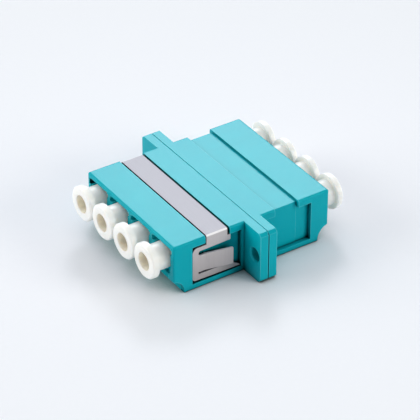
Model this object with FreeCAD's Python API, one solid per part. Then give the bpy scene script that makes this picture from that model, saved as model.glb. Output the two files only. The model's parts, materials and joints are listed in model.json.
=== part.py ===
import FreeCAD, Part

import math
import os

# LC fibre adapter, four ports in a row, with a flange for a panel, a folded steel clip and dust caps.
# Millimetres, Z up.  X runs along the row of ports and Y along the fibres.
# The origin is on the underside, in the middle, on the seam between the two half shells.
# The front half is on the -Y side and carries the clip; the rear half is on the +Y side.
# "Reach" is a distance from the seam, counted outwards along Y, and is the same for both halves.

# ---- ports ----
PORT_COUNT = 4
PORT_PITCH = 6.25
PLUG_BORE = 4.6             # square bore for the body of the plug
END_WALL = 1.125            # outside the bore of each end port
ROOF = 0.85                 # above the bores
FLOOR = 1.0                 # below the latch channels
LATCH_DEPTH = 2.8           # channel under each bore for the plug's latch
LATCH_WIDTH = 3.8
LATCH_ARM_WIDTH = 2.3       # way between the two catches
CATCH_HEIGHT = 1.2          # catches stand on the channel's floor
CATCH_LENGTH = 2.8
CATCH_SETBACK = 2.4         # from the end face to the catches
MOUTH_HEIGHT = 0.95         # wider band under the roof at the mouth
MOUTH_DEPTH = 3.0
MOUTH_DIVIDER = 0.55        # left between the bands of two ports
MOUTH_END_WALL = 0.575      # left outside the band of each end port
LEAD_IN = 0.2               # chamfer round the mouth of each bore
WEB = 1.8                   # cross wall of each half at the seam

# ---- half shells ----
HALF_LENGTH = 14.8
EDGE_ROUND = 0.35
FOOT_ROUND = 0.2            # lower long edges
SCOOP_RADIUS = 2.43         # finger scoop under each end
SCOOP_BEYOND = 0.41         # from the end face to the scoop's axis
SCOOP_RISE = 0.3            # from the underside to the scoop's axis

# ---- flange ----
EAR_LENGTH = 4.5            # how far the flange stands out at each side
PLATE = 1.55                # thickness of each half's plate
FLANGE_CHAMFER = 0.5
SEAM_STEP = 0.08            # half the width of the groove along the seam
SEAM_DEPTH = 0.1
SCREW_EDGE = 1.65           # from the end of each ear to the middle of its screw hole
SCREW_HOLE = 2.3
SCREW_SINK = 0.2            # chamfer round each screw hole

# ---- seat of the clip ----
POCKET_RIM = 0.55           # from the flange to the pocket in each side
POCKET_END_WALL = 0.5       # from the pocket to the wide bands of the mouths
POCKET_DEPTH = 0.75
POCKET_STEP = 0.06          # how much deeper the pocket is beyond the groove
POCKET_SILL = 1.0           # rail left under the pocket
GROOVE_DEPTH = 0.4          # groove that goes over the top and down the sides
INNER_LIP = 1.25            # height of the lip over the pocket beside the flange
INNER_LIP_LENGTH = 2.2
OUTER_LIP = 1.25            # height of the lip over the pocket beyond the groove
OUTER_LIP_LENGTH = 2.44

# ---- alignment sleeves and their holders ----
SLEEVE_BORE = 1.25
SLEEVE_WALL = 0.185
SLEEVE_LENGTH = 6.8
SLEEVE_SLIT = 0.22
SLEEVE_PLAY = 0.05          # round each sleeve and at each of its ends
HOLDER_WALL = 0.5
HOLDER_LIP = 0.95           # length of the lip that keeps the sleeve in
HOLDER_LIP_BORE = 1.42

# ---- clip ----
SHEET = 0.3
BEND_RADIUS = 0.08          # inside of the folds
CLIP_SIDE_GAP = 0.2         # from the side of the groove to the leg
BAR_GAP = 0.33              # between the strap and each side of the groove
LEG_MARGIN = 0.2            # from the far end of the pocket to the leg
LEG_NEAR_MARGIN = 0.15      # from the near end of the pocket to the leg
LEG_FOOT_GAP = 0.28         # over the sill of the pocket, at the post
LEG_FOOT_FALL = 0.13        # how much the lower edge falls to the near end
LEG_LIP_GAP = 0.55          # under the outer lip of the pocket
LEG_SHOULDER = 0.77         # strip along the top of the leg
LEG_TOP_CORNER = 0.9
LEG_FOOT_CORNER = 0.55
LEG_POST = 1.1              # upright that joins the strips of the leg
LEG_RAIL = 1.05             # strip along the foot of the leg, at the post
RAIL_TAPER = 1.8            # length of the sloping end of that strip
RAIL_TIP = 0.15             # height left at its very end
LEG_SLIT = 0.38             # slit between the rail and the tongue
NECK_TOE = 0.6              # how far the neck widens toward the flange, under the inner lip
NECK_TOE_GAP = 0.2          # from the inner lip to that toe
TONGUE_SLOT = 0.85          # slot over the tongue at its root
TONGUE_SLOT_RISE = 0.12     # how much the upper edge of that slot climbs to the neck
SLOT_CORNER_SHARE = 0.45    # radius of the corners at the end of that slot, as a share of it
TONGUE_FLAT = 1.3           # from the end of the slot to the bend
TONGUE_ANGLE = 12.0         # flare, degrees
PANEL_ROOM = 2.55           # between the flange and the tip of the tongue, for the panel
TONGUE_CORNER = 0.12

# ---- dust caps ----
CAP_PLAY = 0.1              # between the barrel and the sides of the bore
CAP_STAND_OFF = 2.2         # from the end face to the back of the head
CAP_HEAD_GAP = 0.25         # between the heads of two caps
CAP_HEAD_THICKNESS = 1.1
CAP_HEAD_CHAMFER = 0.22     # round the outer rim of the head
CAP_INSERTION = 4.9         # length of barrel inside the port
CAP_WALL = 0.675            # wall of the barrel
CAP_END = 0.8               # closed end of the barrel

# ---- sizes that follow ----
BODY_WIDTH = (PORT_COUNT - 1) * PORT_PITCH + PLUG_BORE + 2 * END_WALL
BODY_HEIGHT = FLOOR + LATCH_DEPTH + PLUG_BORE + ROOF
BORE_BASE = FLOOR + LATCH_DEPTH
BORE_TOP = BORE_BASE + PLUG_BORE
FERRULE_Z = BORE_BASE + PLUG_BORE / 2
PORT_X = [(i - (PORT_COUNT - 1) / 2) * PORT_PITCH for i in range(PORT_COUNT)]
SIDE = BODY_WIDTH / 2
FLANGE_WIDTH = BODY_WIDTH + 2 * EAR_LENGTH
SCREW_PITCH = FLANGE_WIDTH - 2 * SCREW_EDGE
POCKET_START = PLATE + POCKET_RIM
POCKET_END = HALF_LENGTH - MOUTH_DEPTH - POCKET_END_WALL
GROOVE_START = POCKET_START + INNER_LIP_LENGTH
GROOVE_END = POCKET_END - OUTER_LIP_LENGTH
SLEEVE_RADIUS = SLEEVE_BORE / 2 + SLEEVE_WALL
CHAMBER_RADIUS = SLEEVE_RADIUS + SLEEVE_PLAY
CHAMBER_REACH = SLEEVE_LENGTH / 2 + SLEEVE_PLAY
HOLDER_REACH = CHAMBER_REACH + HOLDER_LIP
HOLDER_RADIUS = CHAMBER_RADIUS + HOLDER_WALL

SKIN = 1.0                  # how far a cutting solid stands out of what it cuts


def box(x, y, z):
    """Box between the two values of each axis, in either order."""
    low = [min(pair) for pair in (x, y, z)]
    high = [max(pair) for pair in (x, y, z)]
    size = [b - a for a, b in zip(low, high)]
    return Part.makeBox(*size, FreeCAD.Vector(*low))


def prism(points, direction):
    """Solid swept along direction from the flat outline through points."""
    corners = [FreeCAD.Vector(*point) for point in points]
    outline = Part.makePolygon(corners + corners[:1])
    return Part.Face(outline).extrude(FreeCAD.Vector(*direction))


def rod(radius, start, end, x, z):
    """Cylinder along Y from one y to another."""
    low, high = sorted((start, end))
    return Part.makeCylinder(radius, high - low, FreeCAD.Vector(x, low, z), FreeCAD.Vector(0, 1, 0))


def cone(start_radius, end_radius, start, end, x, z):
    """Cone along Y that has start_radius at y = start and end_radius at y = end."""
    toward = math.copysign(1, end - start)
    at = FreeCAD.Vector(x, start, z)
    return Part.makeCone(start_radius, end_radius, abs(end - start), at, FreeCAD.Vector(0, toward, 0))


def pick(shape, axis, **places):
    """Straight edges of shape that run along axis and lie at the given x, y or z."""
    along = {"x": 0, "y": 1, "z": 2}[axis]
    found = []
    for edge in shape.Edges:
        if edge.Degenerated or not isinstance(edge.Curve, Part.Line):
            continue
        if abs(edge.tangentAt(edge.FirstParameter)[along]) < 0.999:
            continue
        middle = edge.CenterOfMass
        if all(abs(abs(getattr(middle, name)) - value) < 1e-4 for name, value in places.items()):
            found.append(edge)
    return found


def opposite(shape):
    """The same piece turned half round about Z, for the other end of the adapter."""
    turned = shape.copy()
    turned.rotate(FreeCAD.Vector(0, 0, 0), FreeCAD.Vector(0, 0, 1), 180)
    return turned


# ---- half shell ----

def shell_block():
    """Outer block of the front half, rounded, with the finger scoop under its end."""
    block = box((-SIDE, SIDE), (-HALF_LENGTH, -PLATE / 2), (0, BODY_HEIGHT))
    soft = pick(block, "y", x=SIDE, z=BODY_HEIGHT)
    soft += pick(block, "z", x=SIDE, y=HALF_LENGTH)
    soft += pick(block, "x", y=HALF_LENGTH, z=BODY_HEIGHT)
    block = block.makeFillet(EDGE_ROUND, soft)
    block = block.makeFillet(FOOT_ROUND, pick(block, "y", x=SIDE, z=0))
    return block.cut(finger_scoop())


def finger_scoop():
    """Round trough across the lower edge of the end face."""
    at = FreeCAD.Vector(-SIDE - SKIN, -HALF_LENGTH - SCOOP_BEYOND, SCOOP_RISE)
    return Part.makeCylinder(SCOOP_RADIUS, BODY_WIDTH + 2 * SKIN, at, FreeCAD.Vector(1, 0, 0))


def flange_outline(inset, y):
    """Corners of the flange at one y, drawn in by inset, with its corners cut off."""
    x = FLANGE_WIDTH / 2 - inset
    low = inset
    high = BODY_HEIGHT - inset
    cut = FLANGE_CHAMFER
    right = [(x - cut, low), (x, low + cut), (x, high - cut), (x - cut, high)]
    left = [(-px, pz) for px, pz in reversed(right)]
    return [(px, y, pz) for px, pz in right + left]


def flange_plate():
    """Half of the flange: a plate with a step round its inner face, and its two screw holes."""
    plate = prism(flange_outline(0, -PLATE), (0, PLATE - SEAM_STEP, 0))
    plate = plate.fuse(prism(flange_outline(SEAM_DEPTH, -SEAM_STEP), (0, SEAM_STEP, 0)))
    return plate.removeSplitter()


def screw_holes():
    """Cutters for the two screw holes with their chamfered mouths."""
    radius = SCREW_HOLE / 2
    z = BODY_HEIGHT / 2
    cutters = []
    for x in (-SCREW_PITCH / 2, SCREW_PITCH / 2):
        cutters.append(rod(radius, -PLATE - SKIN, SKIN, x, z))
        cutters.append(cone(radius + SCREW_SINK, radius, -PLATE, -PLATE + SCREW_SINK, x, z))
    return cutters


def port_cavity(x):
    """Space inside one port: bore, mouth, latch channel and its catches left standing."""
    half = PLUG_BORE / 2
    end = -HALF_LENGTH
    bore = box((x - half, x + half), (end - SKIN, -WEB), (BORE_BASE, BORE_TOP))
    wide = (PORT_PITCH - MOUTH_DIVIDER) / 2
    limit = SIDE - MOUTH_END_WALL
    band = (max(x - wide, -limit), min(x + wide, limit))
    mouth = box(band, (end - SKIN, end + MOUTH_DEPTH), (BORE_TOP - MOUTH_HEIGHT, BORE_TOP))
    latch = LATCH_WIDTH / 2
    channel = box((x - latch, x + latch), (end - SKIN, -WEB), (FLOOR, BORE_BASE))
    catch_end = end + CATCH_SETBACK + CATCH_LENGTH
    for side in (-1, 1):
        across = (x + side * LATCH_ARM_WIDTH / 2, x + side * LATCH_WIDTH / 2)
        channel = channel.cut(box(across, (end + CATCH_SETBACK, catch_end), (FLOOR, FLOOR + CATCH_HEIGHT)))
    return bore.fuse([mouth, channel, lead_in(x)]).removeSplitter()


def lead_in(x):
    """Funnel round the mouth of one bore: square, and wider at the end face."""
    end = -HALF_LENGTH

    def square(half, y):
        corners = ((-half, -half), (half, -half), (half, half), (-half, half))
        points = [FreeCAD.Vector(x + dx, y, FERRULE_Z + dz) for dx, dz in corners]
        return Part.makePolygon(points + points[:1])

    half = PLUG_BORE / 2
    return Part.makeLoft([square(half + LEAD_IN, end), square(half, end + LEAD_IN)], True, True)


def clip_seat():
    """Cutters for the groove over the top and for the pocket in each side."""
    above = BODY_HEIGHT + SKIN
    across = (-SIDE - SKIN, SIDE + SKIN)
    cutters = [box(across, (-GROOVE_START, -GROOVE_END), (BODY_HEIGHT - GROOVE_DEPTH, above))]
    inner_top = BODY_HEIGHT - INNER_LIP
    outer_top = BODY_HEIGHT - OUTER_LIP
    for side in (-1, 1):
        depth = (side * (SIDE - POCKET_DEPTH), side * (SIDE + SKIN))
        beside_flange = box(depth, (-POCKET_START, -GROOVE_START), (POCKET_SILL, inner_top))
        under_groove = box(depth, (-GROOVE_START, -GROOVE_END), (POCKET_SILL, above))
        deeper = (side * (SIDE - POCKET_DEPTH - POCKET_STEP), side * (SIDE + SKIN))
        beyond = box(deeper, (-GROOVE_END, -POCKET_END), (POCKET_SILL, outer_top))
        cutters.append(beside_flange.fuse([under_groove, beyond]).removeSplitter())
    return cutters


def sleeve_holder(x):
    """Tube that stands on the cross wall and holds half of one sleeve."""
    return rod(HOLDER_RADIUS, -HOLDER_REACH, -WEB / 2, x, FERRULE_Z)


def sleeve_chamber(x):
    """Space in one holder: chamber for the sleeve, and the ferrule's hole through the lip."""
    lip = HOLDER_LIP_BORE / 2
    chamber = rod(CHAMBER_RADIUS, -CHAMBER_REACH, SKIN, x, FERRULE_Z)
    return chamber.fuse(rod(lip, -HOLDER_REACH - SKIN, 0, x, FERRULE_Z))


def half_shell():
    """Front half shell, moulded in one piece.  The rear half is the same moulding turned round."""
    shell = shell_block().fuse(flange_plate()).removeSplitter()
    shell = shell.cut([port_cavity(x) for x in PORT_X])
    shell = shell.fuse([sleeve_holder(x) for x in PORT_X])
    shell = shell.cut([sleeve_chamber(x) for x in PORT_X])
    shell = shell.cut(clip_seat() + screw_holes())
    return shell.removeSplitter()


# ---- split sleeve ----

def split_sleeve(x):
    """Ceramic tube with a slit along its top, half in each shell."""
    half = SLEEVE_LENGTH / 2
    tube = rod(SLEEVE_RADIUS, -half, half, x, FERRULE_Z)
    tube = tube.cut(rod(SLEEVE_BORE / 2, -half - SKIN, half + SKIN, x, FERRULE_Z))
    slit = (x - SLEEVE_SLIT / 2, x + SLEEVE_SLIT / 2)
    return tube.cut(box(slit, (-half - SKIN, half + SKIN), (FERRULE_Z, FERRULE_Z + SLEEVE_RADIUS + SKIN)))


# ---- clip ----

LEG_INNER = SIDE - POCKET_DEPTH + CLIP_SIDE_GAP
LEG_OUTER = LEG_INNER + SHEET
STRAP_BASE = BODY_HEIGHT - GROOVE_DEPTH
STRAP_TOP = STRAP_BASE + SHEET
BAR_NEAR = GROOVE_START + BAR_GAP
BAR_FAR = GROOVE_END - BAR_GAP
LEG_NEAR = POCKET_START + LEG_NEAR_MARGIN
LEG_FAR = POCKET_END - LEG_MARGIN
LEG_FOOT = POCKET_SILL + LEG_FOOT_GAP
LEG_TOP = BODY_HEIGHT - OUTER_LIP - LEG_LIP_GAP
TOE_NEAR = BAR_NEAR - NECK_TOE
TOE_TOP = BODY_HEIGHT - INNER_LIP - NECK_TOE_GAP
RAIL_TOP = LEG_FOOT + LEG_RAIL
SLOT_TOP = LEG_TOP - LEG_SHOULDER
TONGUE_BASE = RAIL_TOP + LEG_SLIT
TONGUE_TOP = SLOT_TOP - TONGUE_SLOT
SLOT_END = LEG_FAR - LEG_POST
TONGUE_BEND = SLOT_END - TONGUE_FLAT
TONGUE_TIP = PLATE + PANEL_ROOM


def strap():
    """Bar over the top, folded down at both ends as far as the shoulders of the legs."""
    outer = box((-LEG_OUTER, LEG_OUTER), (-BAR_NEAR, -BAR_FAR), (LEG_TOP, STRAP_TOP))
    outer = outer.makeFillet(BEND_RADIUS + SHEET, pick(outer, "y", x=LEG_OUTER, z=STRAP_TOP))
    inner = box((-LEG_INNER, LEG_INNER), (-BAR_NEAR + SKIN, -BAR_FAR - SKIN), (LEG_TOP - SKIN, STRAP_BASE))
    inner = inner.makeFillet(BEND_RADIUS, pick(inner, "y", x=LEG_INNER, z=STRAP_BASE))
    return outer.cut(inner)


def leg():
    """Flat part of the right leg: neck and toe, shoulder, post and rail round the place of the tongue."""
    outline = [
        (LEG_NEAR, LEG_FOOT - LEG_FOOT_FALL),
        (LEG_FAR, LEG_FOOT),
        (LEG_FAR, LEG_TOP),
        (BAR_FAR, LEG_TOP),
        (BAR_FAR, STRAP_BASE - BEND_RADIUS),
        (BAR_NEAR, STRAP_BASE - BEND_RADIUS),
        (BAR_NEAR, TOE_TOP),
        (TOE_NEAR, TOE_TOP),
        (TOE_NEAR, SLOT_TOP + TONGUE_SLOT_RISE),
        (SLOT_END, SLOT_TOP),
        (SLOT_END, TONGUE_TOP),
        (TONGUE_BEND, TONGUE_TOP),
        (TONGUE_BEND, TONGUE_BASE),
        (SLOT_END, TONGUE_BASE),
        (SLOT_END, RAIL_TOP),
        (LEG_NEAR + RAIL_TAPER, RAIL_TOP),
        (LEG_NEAR, LEG_FOOT - LEG_FOOT_FALL + RAIL_TIP),
    ]
    plate = prism([(LEG_INNER, -reach, z) for reach, z in outline], (SHEET, 0, 0))
    plate = plate.makeFillet(LEG_TOP_CORNER, pick(plate, "x", y=LEG_FAR, z=LEG_TOP))
    plate = plate.makeFillet(LEG_FOOT_CORNER, pick(plate, "x", y=LEG_FAR, z=LEG_FOOT))
    slot_corners = pick(plate, "x", y=SLOT_END, z=SLOT_TOP) + pick(plate, "x", y=SLOT_END, z=TONGUE_TOP)
    return plate.makeFillet(SLOT_CORNER_SHARE * TONGUE_SLOT, slot_corners)


def tongue():
    """Springy tongue of the right leg, bent outwards, that catches behind the panel."""
    turn = math.radians(TONGUE_ANGLE)
    outward = math.sin(turn)
    toward_flange = math.cos(turn)
    inside_bend = SHEET * math.tan(turn / 2)
    root = TONGUE_BEND + TONGUE_FLAT / 2
    tip_x = LEG_OUTER + (TONGUE_BEND - TONGUE_TIP) * math.tan(turn)
    profile = [
        (LEG_INNER, root),
        (LEG_OUTER, root),
        (LEG_OUTER, TONGUE_BEND),
        (tip_x, TONGUE_TIP),
        (tip_x - SHEET * toward_flange, TONGUE_TIP - SHEET * outward),
        (LEG_INNER, TONGUE_BEND - inside_bend),
    ]
    blade = prism([(x, -reach, TONGUE_BASE) for x, reach in profile], (0, 0, TONGUE_TOP - TONGUE_BASE))
    return blade.cut(tongue_corners(tip_x))


def tongue_corners(tip_x):
    """Cutters that round the two corners at the tip of the tongue."""
    start = TONGUE_TIP - SHEET
    end = TONGUE_TIP + TONGUE_CORNER
    span = (LEG_INNER, tip_x + SKIN)
    cutters = []
    for edge, inward in ((TONGUE_BASE, 1), (TONGUE_TOP, -1)):
        centre_z = edge + inward * TONGUE_CORNER
        corner = box(span, (-start, -end), (edge - inward * SKIN, centre_z))
        centre = FreeCAD.Vector(LEG_INNER, -end, centre_z)
        round_end = Part.makeCylinder(TONGUE_CORNER, span[1] - span[0], centre, FreeCAD.Vector(1, 0, 0))
        cutters.append(corner.cut(round_end))
    return cutters


def panel_clip():
    """The whole clip, cut and folded from one sheet."""
    right = leg().fuse(tongue())
    left = right.mirror(FreeCAD.Vector(0, 0, 0), FreeCAD.Vector(1, 0, 0))
    return strap().fuse([right, left]).removeSplitter()


# ---- dust cap ----

def dust_cap(x):
    """Front dust cap: a turned form with a round head, a blind hole and a barrel that enters the port."""
    barrel = PLUG_BORE / 2 - CAP_PLAY
    head = (PORT_PITCH - CAP_HEAD_GAP) / 2
    hole = barrel - CAP_WALL
    tip = HALF_LENGTH - CAP_INSERTION
    back = HALF_LENGTH + CAP_STAND_OFF
    face = back + CAP_HEAD_THICKNESS
    profile = [
        (0, tip),
        (barrel, tip),
        (barrel, back),
        (head, back),
        (head, face - CAP_HEAD_CHAMFER),
        (head - CAP_HEAD_CHAMFER, face),
        (hole, face),
        (hole, tip + CAP_END),
        (0, tip + CAP_END),
    ]
    points = [FreeCAD.Vector(x + radius, -reach, FERRULE_Z) for radius, reach in profile]
    outline = Part.Face(Part.makePolygon(points + points[:1]))
    return outline.revolve(FreeCAD.Vector(x, 0, FERRULE_Z), FreeCAD.Vector(0, 1, 0), 360)


def build():
    """Every piece of the adapter, by the name of its node."""
    front = half_shell()
    pieces = {"front_shell": front, "rear_shell": opposite(front), "panel_clip": panel_clip()}
    for number, x in enumerate(PORT_X, start=1):
        pieces["split_sleeve_%d" % number] = split_sleeve(x)
        pieces["front_cap_%d" % number] = dust_cap(x)
        pieces["rear_cap_%d" % number] = opposite(dust_cap(-x))
    return pieces


os.makedirs("parts", exist_ok=True)
for node, shape in build().items():
    solid = shape.Solids[0] if len(shape.Solids) == 1 else shape
    solid.exportStep("parts/%s.step" % node)
    state = "valid" if shape.isValid() else "NOT VALID"
    print(node, len(shape.Solids), "solid", state, round(shape.Volume, 2), "mm3")
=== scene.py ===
import json
import math

import bpy
from mathutils import Matrix, Vector


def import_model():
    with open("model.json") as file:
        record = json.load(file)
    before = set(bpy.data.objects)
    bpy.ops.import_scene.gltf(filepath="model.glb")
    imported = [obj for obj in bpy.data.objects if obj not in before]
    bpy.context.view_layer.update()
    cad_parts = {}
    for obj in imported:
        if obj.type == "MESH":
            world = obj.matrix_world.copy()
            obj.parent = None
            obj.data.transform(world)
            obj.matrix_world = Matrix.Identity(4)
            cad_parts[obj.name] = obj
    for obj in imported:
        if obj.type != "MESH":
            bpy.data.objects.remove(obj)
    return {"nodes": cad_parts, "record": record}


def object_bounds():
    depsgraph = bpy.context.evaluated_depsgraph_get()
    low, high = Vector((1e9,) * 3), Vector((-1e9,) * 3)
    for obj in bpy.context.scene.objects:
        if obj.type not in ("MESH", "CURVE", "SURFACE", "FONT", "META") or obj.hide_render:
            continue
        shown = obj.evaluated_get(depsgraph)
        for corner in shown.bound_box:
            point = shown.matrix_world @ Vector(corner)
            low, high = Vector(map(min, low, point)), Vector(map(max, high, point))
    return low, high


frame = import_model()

CAD_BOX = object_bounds()
MM = 0.001

# Sizes of the CAD pieces that the finishes follow, in millimetres.
PORT_COUNT = 4
PORT_PITCH = 6.25           # between the axes of two ports
PLUG_BORE = 4.6             # width and height of a port
END_WALL = 1.125            # outside the outer ports
FERRULE_Z = 6.1             # height of the ports' axes
POCKET_DEPTH = 0.75         # of the pocket in each side
GROOVE = 0.08               # half the width of the groove along the seam
CAP_HOLE = 1.525            # radius of the blind hole in each dust cap

# Places worked out from them and from the frame's box. All but the first are distances from the middle.
ROOF = FERRULE_Z + PLUG_BORE / 2                                # height of the ports' roofs
PORTS_SIDE = (PORT_COUNT - 1) * PORT_PITCH / 2 + PLUG_BORE / 2  # outer side of the outer ports
SIDE = PORTS_SIDE + END_WALL                                    # side of the body
POCKET_FLOOR = SIDE - POCKET_DEPTH
FLANGE_END = CAD_BOX[1][0] / MM

BACKDROP = (0.84, 0.875, 0.96)
FLOOR_HALF = 1.5            # half the width of the floor, in metres
FLOOR_GAP = 0.02 * MM       # from the floor up to the part

# Every node keeps its CAD mesh: this file gives finishes, light, floor and camera.


# ---- shader helpers ----

class Nodes:
    """A node tree and short ways to fill it. Colours are linear."""

    def __init__(self, owner):
        owner.use_nodes = True
        self.tree = owner.node_tree
        self.tree.nodes.clear()

    def node(self, kind, **settings):
        made = self.tree.nodes.new(kind)
        for name, value in settings.items():
            setattr(made, name, value)
        return made

    def link(self, output, socket):
        self.tree.links.new(output, socket)

    def ranged(self, value, low, high, start=0.25, end=0.75):
        """Value between start and end drawn out to run from low to high."""
        made = self.node("ShaderNodeMapRange")
        made.inputs["From Min"].default_value = start
        made.inputs["From Max"].default_value = end
        made.inputs["To Min"].default_value = low
        made.inputs["To Max"].default_value = high
        self.link(value, made.inputs["Value"])
        return made.outputs["Result"]

    def blended(self, amount, dark, light):
        """Colour between dark and light, each a plain colour or another node's output."""
        made = self.node("ShaderNodeMix", data_type="RGBA")
        for name, colour in (("A", dark), ("B", light)):
            if isinstance(colour, tuple):
                made.inputs[name].default_value = (*colour, 1)
            else:
                self.link(colour, made.inputs[name])
        self.link(amount, made.inputs["Factor"])
        return made.outputs["Result"]

    def faded(self, value, dark, light, start=0.25, end=0.75):
        """Colour that runs from dark to light as value goes from start to end."""
        return self.blended(self.ranged(value, 0, 1, start, end), dark, light)

    def maths(self, operation, *values):
        """Result of one sum, whose values are plain numbers or other nodes' outputs."""
        made = self.node("ShaderNodeMath", operation=operation)
        for socket, value in zip(made.inputs, values):
            if isinstance(value, (int, float)):
                socket.default_value = value
            else:
                self.link(value, socket)
        return made.outputs["Value"]

    def parts_of(self, vector):
        """X, Y and Z of a vector."""
        made = self.node("ShaderNodeSeparateXYZ")
        self.link(vector, made.inputs["Vector"])
        return made.outputs


class Finish(Nodes):
    """One procedural material, with its texture space in millimetres of the object's own axes."""

    def __init__(self, name):
        self.material = bpy.data.materials.new(name)
        super().__init__(self.material)
        output = self.node("ShaderNodeOutputMaterial")
        self.shader = self.node("ShaderNodeBsdfPrincipled")
        self.link(self.shader.outputs["BSDF"], output.inputs["Surface"])
        place = self.node("ShaderNodeTexCoord")
        scale = self.node("ShaderNodeVectorMath", operation="SCALE")
        scale.inputs["Scale"].default_value = 1 / MM
        self.link(place.outputs["Object"], scale.inputs[0])
        self.space = scale.outputs["Vector"]

    def set(self, **values):
        """Plain values on the shader's own sockets."""
        for name, value in values.items():
            self.shader.inputs[name.replace("_", " ")].default_value = value

    def stretched(self, x, y, z):
        """The texture space with its own density along each axis."""
        mapping = self.node("ShaderNodeMapping")
        mapping.inputs["Scale"].default_value = (x, y, z)
        self.link(self.space, mapping.inputs["Vector"])
        return mapping.outputs["Vector"]

    def noise(self, scale, detail=2.0, roughness=0.5, space=None, distortion=0.0):
        """Noise whose scale is in features for each millimetre."""
        made = self.node("ShaderNodeTexNoise")
        made.inputs["Scale"].default_value = scale
        made.inputs["Detail"].default_value = detail
        made.inputs["Roughness"].default_value = roughness
        made.inputs["Distortion"].default_value = distortion
        self.link(space or self.space, made.inputs["Vector"])
        return made.outputs["Fac"]

    def openness(self, reach):
        """1 in the open, falling to 0 where surfaces within reach mm close in."""
        made = self.node("ShaderNodeAmbientOcclusion", samples=8)
        made.inputs["Distance"].default_value = reach * MM
        return made.outputs["AO"]

    def softened(self, radius):
        """Normal as if every edge were rounded to radius mm."""
        made = self.node("ShaderNodeBevel", samples=6)
        made.inputs["Radius"].default_value = radius * MM
        return made.outputs["Normal"]

    def edges(self, radius):
        """1 on sharp edges, falling to 0 on the flats radius mm away."""
        flat = self.node("ShaderNodeNewGeometry")
        same = self.node("ShaderNodeVectorMath", operation="DOT_PRODUCT")
        self.link(self.softened(radius), same.inputs[0])
        self.link(flat.outputs["Normal"], same.inputs[1])
        return self.ranged(same.outputs["Value"], 1, 0, 0.80, 0.99)

    def bumps(self, layers, edge=None):
        """Chain of bumps, each (height, depth in mm), over edges softened by edge mm."""
        normal = None
        if edge:
            normal = self.softened(edge)
        for height, depth in layers:
            bump = self.node("ShaderNodeBump")
            bump.inputs["Strength"].default_value = 1.0
            bump.inputs["Distance"].default_value = depth * MM
            self.link(height, bump.inputs["Height"])
            if normal is not None:
                self.link(normal, bump.inputs["Normal"])
            normal = bump.outputs["Normal"]
        self.link(normal, self.shader.inputs["Normal"])


# ---- finishes ----

def unshaded(f, place, across, from_seam):
    """1 along the seam and 0.75 in and between the ports, which get no painted shade, and 0 elsewhere."""
    along_seam = f.ranged(from_seam, 1, 0, GROOVE + 0.04, GROOVE + 0.12)
    below_roof = f.ranged(place["Z"], 1, 0, ROOF + 0.05, ROOF + 0.25)
    between_sides = f.ranged(across, 1, 0, PORTS_SIDE + 0.045, PORTS_SIDE + 0.145)
    among_ports = f.maths("MULTIPLY", below_roof, between_sides)
    return f.maths("MAXIMUM", along_seam, f.maths("MULTIPLY", among_ports, 0.75))


def pocket_shade(f, place, across):
    """What the pockets in the sides take off the openness of their creases, to deepen the painted shade in
    them, less in the rear half.
    """
    past_ports = f.ranged(across, 0, 0.24, POCKET_FLOOR - 0.2, POCKET_FLOOR - 0.1)
    under_side = f.ranged(across, 1, 0, SIDE - 0.12, SIDE - 0.02)
    in_pocket = f.maths("MULTIPLY", past_ports, under_side)
    return f.maths("MULTIPLY", in_pocket, f.ranged(place["Y"], 1, 0.4, -1, 1))


def shell_colour(f, in_open):
    """The colour in_open with the shells' painted shade, painted highlights on their edges and painted
    shade in the seam's groove on the flange ends.
    """
    # Colours of the painted shade in corners, hollows and creases.
    corner_shade = (0.0, 0.20, 0.23)
    hollow_shade = (0.0, 0.04, 0.042)
    crease_shade = (0.0, 0.012, 0.013)
    # Colour of the painted highlight on sharp edges.
    edge_highlight = (0.16, 0.76, 0.84)
    # Colour of the painted shade in the seam's groove on the flange ends.
    seam_shade = (0.0, 0.03, 0.035)
    place = f.parts_of(f.space)
    across = f.maths("ABSOLUTE", place["X"])
    from_seam = f.maths("ABSOLUTE", place["Y"])
    lit = unshaded(f, place, across, from_seam)
    # Painted shade: darker where surfaces close in within 8 mm, 2.2 mm and 0.7 mm, deepest in the creases.
    around = f.maths("MAXIMUM", f.openness(8.0), lit)
    nearby = f.maths("MAXIMUM", f.openness(2.2), lit)
    beside = f.maths("MAXIMUM", f.openness(0.7), lit)
    creased = f.maths("SUBTRACT", beside, pocket_shade(f, place, across))
    cornered = f.faded(around, corner_shade, in_open, start=0.22, end=0.46)
    shaded = f.faded(nearby, hollow_shade, cornered, start=0.2, end=0.72)
    colour = f.faded(creased, crease_shade, shaded, start=0.25, end=0.65)
    # Painted highlight: sharp edges in open places are lightened, less beside the seam.
    in_sight = f.maths("MULTIPLY", f.ranged(nearby, 0, 0.7, 0.6, 0.9), f.ranged(around, 0, 1, 0.5, 0.7))
    off_seam = f.maths("MULTIPLY", in_sight, f.ranged(from_seam, 0.7, 1, GROOVE + 0.02, GROOVE + 0.12))
    lightened = f.blended(f.maths("MULTIPLY", f.edges(0.25), off_seam), colour, edge_highlight)
    # Painted shade in the seam's groove where it runs down the flange ends.
    on_end = f.ranged(across, 0, 1, FLANGE_END - 0.3, FLANGE_END - 0.2)
    in_groove = f.ranged(from_seam, 1, 0, GROOVE - 0.005, GROOVE + 0.02)
    return f.blended(f.maths("MULTIPLY", in_groove, on_end), lightened, seam_shade)


def moulded_shell():
    """Aqua thermoplastic from a finely eroded mould: satin, with faint flow in its colour."""
    f = Finish("aqua_moulded_plastic")
    flow = f.noise(0.22, detail=3.0, distortion=0.6, space=f.stretched(1.0, 0.45, 1.0))
    grain = f.noise(7.0, detail=3.0, roughness=0.6)
    in_open = f.faded(flow, (0.001, 0.388, 0.468), (0.002, 0.423, 0.503))
    f.link(shell_colour(f, in_open), f.shader.inputs["Base Color"])
    f.link(f.ranged(grain, 0.23, 0.28), f.shader.inputs["Roughness"])
    f.set(IOR=1.5, Specular_IOR_Level=0.14, Specular_Tint=(0.3, 0.95, 1.0, 1))
    f.bumps([(grain, 0.003), (flow, 0.02)], edge=0.07)
    return f.material


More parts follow.
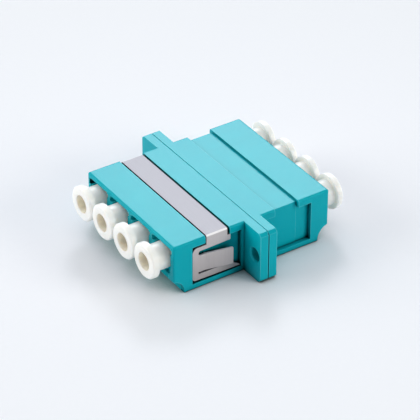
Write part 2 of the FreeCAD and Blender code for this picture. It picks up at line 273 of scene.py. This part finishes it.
def strip_colour(f, rolled, normal, fold):
    """The clip's colour, with a painted highlight on its folds, painted shade in its creases, and a
    painted reflection on its upright parts that is warmer and darker towards the foot.
    """
    # Colours of the painted highlight on folds, the painted crease shade, and the painted reflection low
    # and high on upright parts.
    fold_highlight = (0.96, 0.94, 0.95)
    crease_shade = (0.04, 0.035, 0.035)
    foot_painted_shade = (0.76, 0.71, 0.66)
    top_painted_light = (1.06, 1.00, 0.94)
    plain = f.faded(rolled, (0.515, 0.515, 0.565), (0.595, 0.595, 0.655))
    # Painted shade in the clip's creases.
    shaded = f.faded(f.openness(1.2), crease_shade, plain, start=0.15, end=0.75)
    # Painted reflection on upright faces: darker and warmer towards the foot, lighter towards the top.
    upright = f.faded(f.parts_of(f.space)["Z"], foot_painted_shade, top_painted_light, start=1.0, end=8.0)
    tinted = f.node("ShaderNodeVectorMath", operation="MULTIPLY")
    f.link(shaded, tinted.inputs[0])
    f.link(f.blended(f.maths("ABSOLUTE", normal["Z"]), upright, (1.0, 1.0, 1.0)), tinted.inputs[1])
    # Painted highlight on the folds.
    return f.blended(fold, tinted.outputs["Vector"], fold_highlight)


def sprung_steel():
    """Stainless strip, with its grain rolled along the strip."""
    f = Finish("stainless_spring_strip")
    rolled = f.noise(1.0, detail=4.0, roughness=0.7, space=f.stretched(0.12, 22.0, 0.12))
    cloud = f.noise(0.6, detail=2.0)
    facing = f.node("ShaderNodeNewGeometry").outputs["Normal"]
    normal = f.parts_of(facing)
    # Bends between the flat top and the sides: they get the painted highlight and a lower roughness.
    slanted = f.maths("ABSOLUTE", f.maths("MULTIPLY", normal["X"], normal["Z"]))
    fold = f.ranged(slanted, 0, 1, 0.15, 0.45)
    f.link(strip_colour(f, rolled, normal, fold), f.shader.inputs["Base Color"])
    f.link(f.maths("MULTIPLY_ADD", fold, -0.22, f.ranged(cloud, 0.66, 0.72)), f.shader.inputs["Roughness"])
    f.set(Metallic=0.12, Anisotropic=0.5, Specular_IOR_Level=0.1)
    along = f.node("ShaderNodeVectorMath", operation="CROSS_PRODUCT")
    along.inputs[0].default_value = (0, 1, 0)
    f.link(facing, along.inputs[1])
    f.link(along.outputs["Vector"], f.shader.inputs["Tangent"])
    f.bumps([(rolled, 0.0015), (cloud, 0.01)], edge=0.05)
    return f.material


def zirconia():
    """Ground and polished white ceramic."""
    f = Finish("white_zirconia")
    ground = f.noise(1.0, detail=3.0, space=f.stretched(0.5, 18.0, 0.5))
    colour = f.faded(ground, (0.80, 0.78, 0.73), (0.86, 0.85, 0.81))
    f.link(colour, f.shader.inputs["Base Color"])
    f.link(f.ranged(ground, 0.10, 0.18), f.shader.inputs["Roughness"])
    f.set(IOR=2.1)
    f.bumps([(ground, 0.0006)], edge=0.04)
    return f.material


def from_axis(f):
    """Distance in mm from the axis of the nearest port."""
    place = f.parts_of(f.space)
    from_middle = f.maths("PINGPONG", place["X"], PORT_PITCH / 2)
    beside = f.maths("SUBTRACT", PORT_PITCH / 2, from_middle)
    above = f.maths("SUBTRACT", place["Z"], FERRULE_Z)
    return f.maths("SQRT", f.maths("ADD", f.maths("POWER", beside, 2), f.maths("POWER", above, 2)))


def milky_cap():
    """Soft milky plastic that lets a little light through, with painted warm light within the radius of
    its blind hole, for the light that its walls pass into it.
    """
    hole_warm_light = (1.0, 0.84, 0.67)
    f = Finish("milky_soft_plastic")
    cloud = f.noise(0.8, detail=2.0, distortion=0.4)
    skin = f.noise(6.0, detail=3.0, roughness=0.6)
    outside = f.faded(cloud, (0.935, 0.905, 0.86), (0.96, 0.93, 0.885))
    # Painted warm light within the hole's radius, for light that the milky walls pass into the hole.
    colour = f.faded(from_axis(f), hole_warm_light, outside, start=CAP_HOLE - 0.1, end=CAP_HOLE + 0.1)
    f.link(colour, f.shader.inputs["Base Color"])
    f.link(f.ranged(skin, 0.28, 0.42), f.shader.inputs["Roughness"])
    f.set(IOR=1.46, Subsurface_Weight=1.0, Subsurface_Scale=1.2 * MM, Subsurface_Radius=(1.0, 0.92, 0.84))
    f.bumps([(skin, 0.003), (cloud, 0.015)], edge=0.08)
    return f.material


FINISHES = {"shell": moulded_shell(), "clip": sprung_steel(), "sleeve": zirconia(), "cap": milky_cap()}
for subpart in frame["record"]["subparts"]:
    node = frame["nodes"][subpart["node"]]
    for slot in node.material_slots:
        slot.material = FINISHES[subpart["material_slot"]]


# ---- floor, light, camera ----

def pale_paper():
    """Matt pale paper with painted shadow under and beside the part, and a painted pool of light that
    fades far from it.
    """
    # Colours of the painted contact shadow, the painted corner shadow and the painted falloff far away.
    contact_shadow = (0.10, 0.14, 0.15)
    corner_shade = (0.33, 0.45, 0.44)
    far_falloff = (0.62, 0.64, 0.58)
    f = Finish("pale_paper")
    tooth = f.noise(1.2, detail=4.0, roughness=0.6)
    near = f.faded(tooth, (0.878, 0.894, 0.938), (0.888, 0.904, 0.948))
    away = f.node("ShaderNodeVectorMath", operation="LENGTH")
    f.link(f.space, away.inputs[0])
    # Painted pool of light: the paper darkens from 20 mm out to 450 mm from the part.
    in_open = f.faded(away.outputs["Value"], near, far_falloff, start=20, end=450)
    # Painted shadow in the corners beside the part.
    cornered = f.faded(f.openness(8.0), corner_shade, in_open, start=0.2, end=0.46)
    # Painted contact shadow right under and beside the part.
    colour = f.faded(f.openness(1.8), contact_shadow, cornered, start=0.05, end=0.75)
    f.link(colour, f.shader.inputs["Base Color"])
    f.set(Roughness=0.85, Specular_IOR_Level=0.1)
    f.bumps([(tooth, 0.004)])
    return f.material


def floor():
    """Large pale sheet just under the object."""
    mesh = bpy.data.meshes.new("floor")
    turns = [(-1, -1), (1, -1), (1, 1), (-1, 1)]
    mesh.from_pydata([(x * FLOOR_HALF, y * FLOOR_HALF, 0) for x, y in turns], [], [(0, 1, 2, 3)])
    mesh.materials.append(pale_paper())
    sheet = bpy.data.objects.new("floor", mesh)
    sheet.location.z = -FLOOR_GAP
    bpy.context.scene.collection.objects.link(sheet)


def panel(name, centre, size, radiance, colour):
    """Rectangular soft light turned to the part, its centre and size in metres."""
    lamp = bpy.data.lights.new(name, "AREA")
    lamp.shape = "RECTANGLE"
    lamp.size, lamp.size_y = size
    lamp.energy = radiance * math.pi * size[0] * size[1]
    lamp.color = colour
    holder = bpy.data.objects.new(name, lamp)
    holder.location = centre
    to_part = Vector((0, 0, 0)) - Vector(centre)
    holder.rotation_euler = to_part.to_track_quat("-Z", "Y").to_euler()
    bpy.context.scene.collection.objects.link(holder)


def world(strength, swing):
    """Soft light all round, fuller from behind left, and the backdrop for camera, gloss and glass."""
    front_right = (0.82, -0.57, 0.0)
    made = bpy.data.worlds.new("studio")
    w = Nodes(made)
    output = w.node("ShaderNodeOutputWorld")
    room = w.node("ShaderNodeBackground")
    room.inputs["Color"].default_value = (0.90, 0.95, 1.0, 1)
    direction = w.node("ShaderNodeTexCoord")
    facing = w.node("ShaderNodeVectorMath", operation="DOT_PRODUCT")
    facing.inputs[1].default_value = front_right
    w.link(direction.outputs["Generated"], facing.inputs[0])
    level = w.ranged(facing.outputs["Value"], strength * (1 + swing), strength * (1 - swing), -1, 1)
    w.link(level, room.inputs["Strength"])
    backdrop = w.node("ShaderNodeBackground")
    backdrop.inputs["Color"].default_value = (*BACKDROP, 1)
    path = w.node("ShaderNodeLightPath").outputs
    seen = w.maths("MAXIMUM", path["Is Camera Ray"], path["Is Glossy Ray"])
    mix = w.node("ShaderNodeMixShader")
    w.link(w.maths("MAXIMUM", seen, path["Is Transmission Ray"]), mix.inputs["Fac"])
    w.link(room.outputs["Background"], mix.inputs[1])
    w.link(backdrop.outputs["Background"], mix.inputs[2])
    w.link(mix.outputs["Shader"], output.inputs["Surface"])
    bpy.context.scene.world = made


def camera(place, ahead, roll):
    """Long lens at place, in metres, looking ahead and turned by roll degrees."""
    lens = bpy.data.cameras.new("camera")
    lens.sensor_width = 36.0
    lens.lens = 199.66
    lens.clip_start = 0.01
    lens.clip_end = 10.0
    holder = bpy.data.objects.new("camera", lens)
    turn = Vector(ahead).to_track_quat("-Z", "Y").to_matrix().to_4x4()
    holder.matrix_world = Matrix.Translation(place) @ turn @ Matrix.Rotation(math.radians(roll), 4, "Z")
    bpy.context.scene.collection.objects.link(holder)
    bpy.context.scene.camera = holder


floor()
world(0.55, 0.6)
panel("above", (0.0, 0.0, 0.70), (0.5, 0.5), 0.62, (0.91, 0.96, 1.0))
panel("window_behind", (-0.78, 0.54, 0.66), (0.30, 0.26), 13.8, (0.97, 0.965, 1.0))
panel("beside_right", (0.48, 0.34, 0.25), (0.28, 0.22), 7.3, (1.0, 0.94, 0.84))
panel("front_left", (-0.34, -0.56, 0.28), (0.5, 0.4), 4.2, (1.0, 0.955, 0.89))
# The camera's place and direction were fitted to the photograph.
camera((0.25853447, -0.17161836, 0.21753077), (-0.68530526, 0.45613719, -0.56771082), roll=0.16604)
bpy.context.scene.view_settings.view_transform = "Standard"
